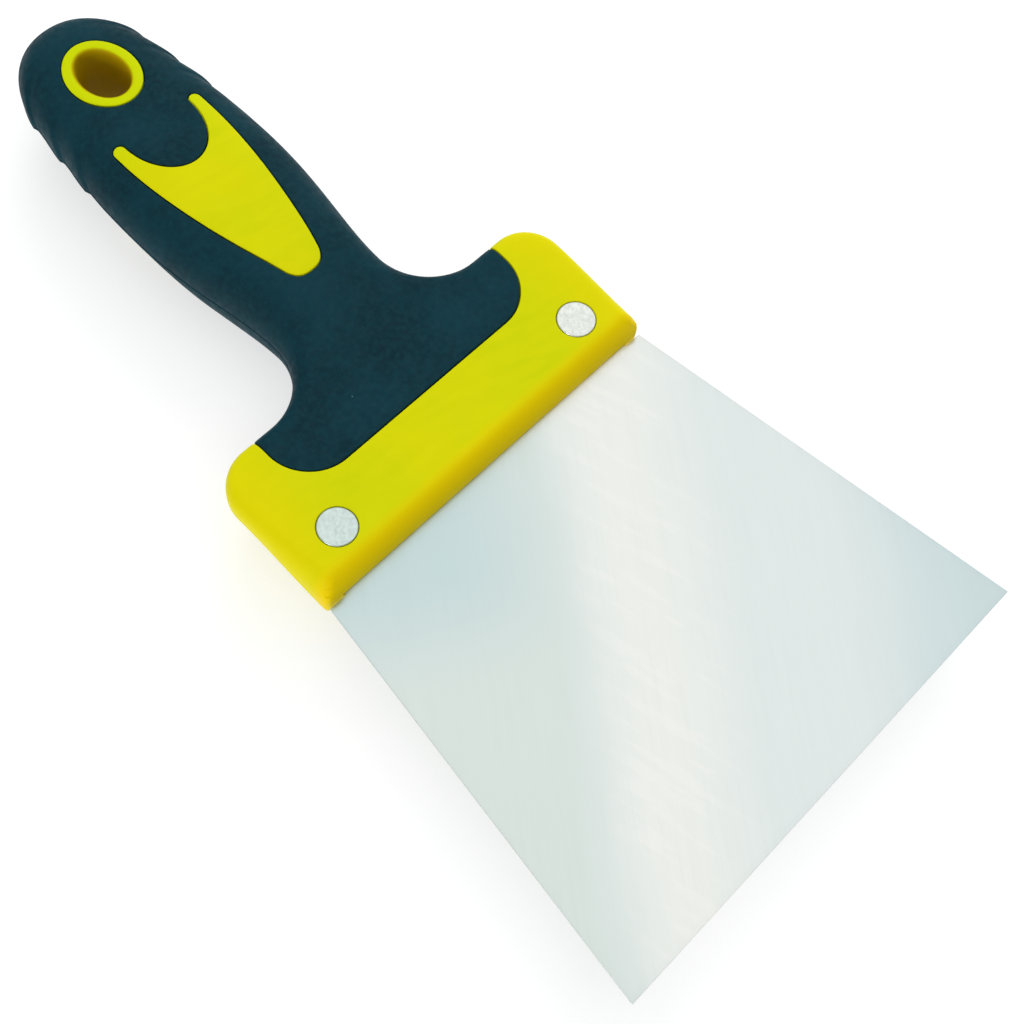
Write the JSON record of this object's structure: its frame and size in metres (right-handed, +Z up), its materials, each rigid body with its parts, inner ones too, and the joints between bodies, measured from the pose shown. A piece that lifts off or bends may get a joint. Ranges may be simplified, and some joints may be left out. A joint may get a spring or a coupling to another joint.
{
  "type": "flexible putty knife",
  "caption": "Flexible putty knife: flared steel blade riveted into a T-shaped two-shot handle with soft grip, bare panels and hang hole.",
  "frame": {"origin": "bottom centre of the tool as it lies flat: on the lower bare panel's plane, midway between the two sides and between the hanging end and the working edge", "axes": "+Y along the tool from the hanging end to the working edge, +X across it, +Z up out of the upper broad face"},
  "size_m": [0.1, 0.2026, 0.022],
  "materials": {
    "blade_steel": "bright rolled stainless spring steel, faint streaks along the blade",
    "yellow_plastic": "satin chartreuse polypropylene",
    "teal_rubber": "matt dark teal thermoplastic rubber, fine grain",
    "rivet_steel": "satin, pressed flat"
  },
  "bodies": {
    "handle": {"handle_core": "yellow_plastic", "soft_grip": "teal_rubber", "rivet_post_left": "rivet_steel", "rivet_post_right": "rivet_steel", "rivet_sleeve_left": "rivet_steel", "rivet_sleeve_right": "rivet_steel"},
    "flexing_blade": {"blade": "blade_steel"}
  },
  "joints": [
    {"name": "blade_flex", "type": "hinge", "parent": "handle", "child": "flexing_blade", "pos_m": [0, 0.03245, 0.011], "axis": [1, 0, 0], "range_deg": [-25, 25], "stiffness_Nm_per_rad": 4.8, "deforming": ["blade"]}
  ]
}
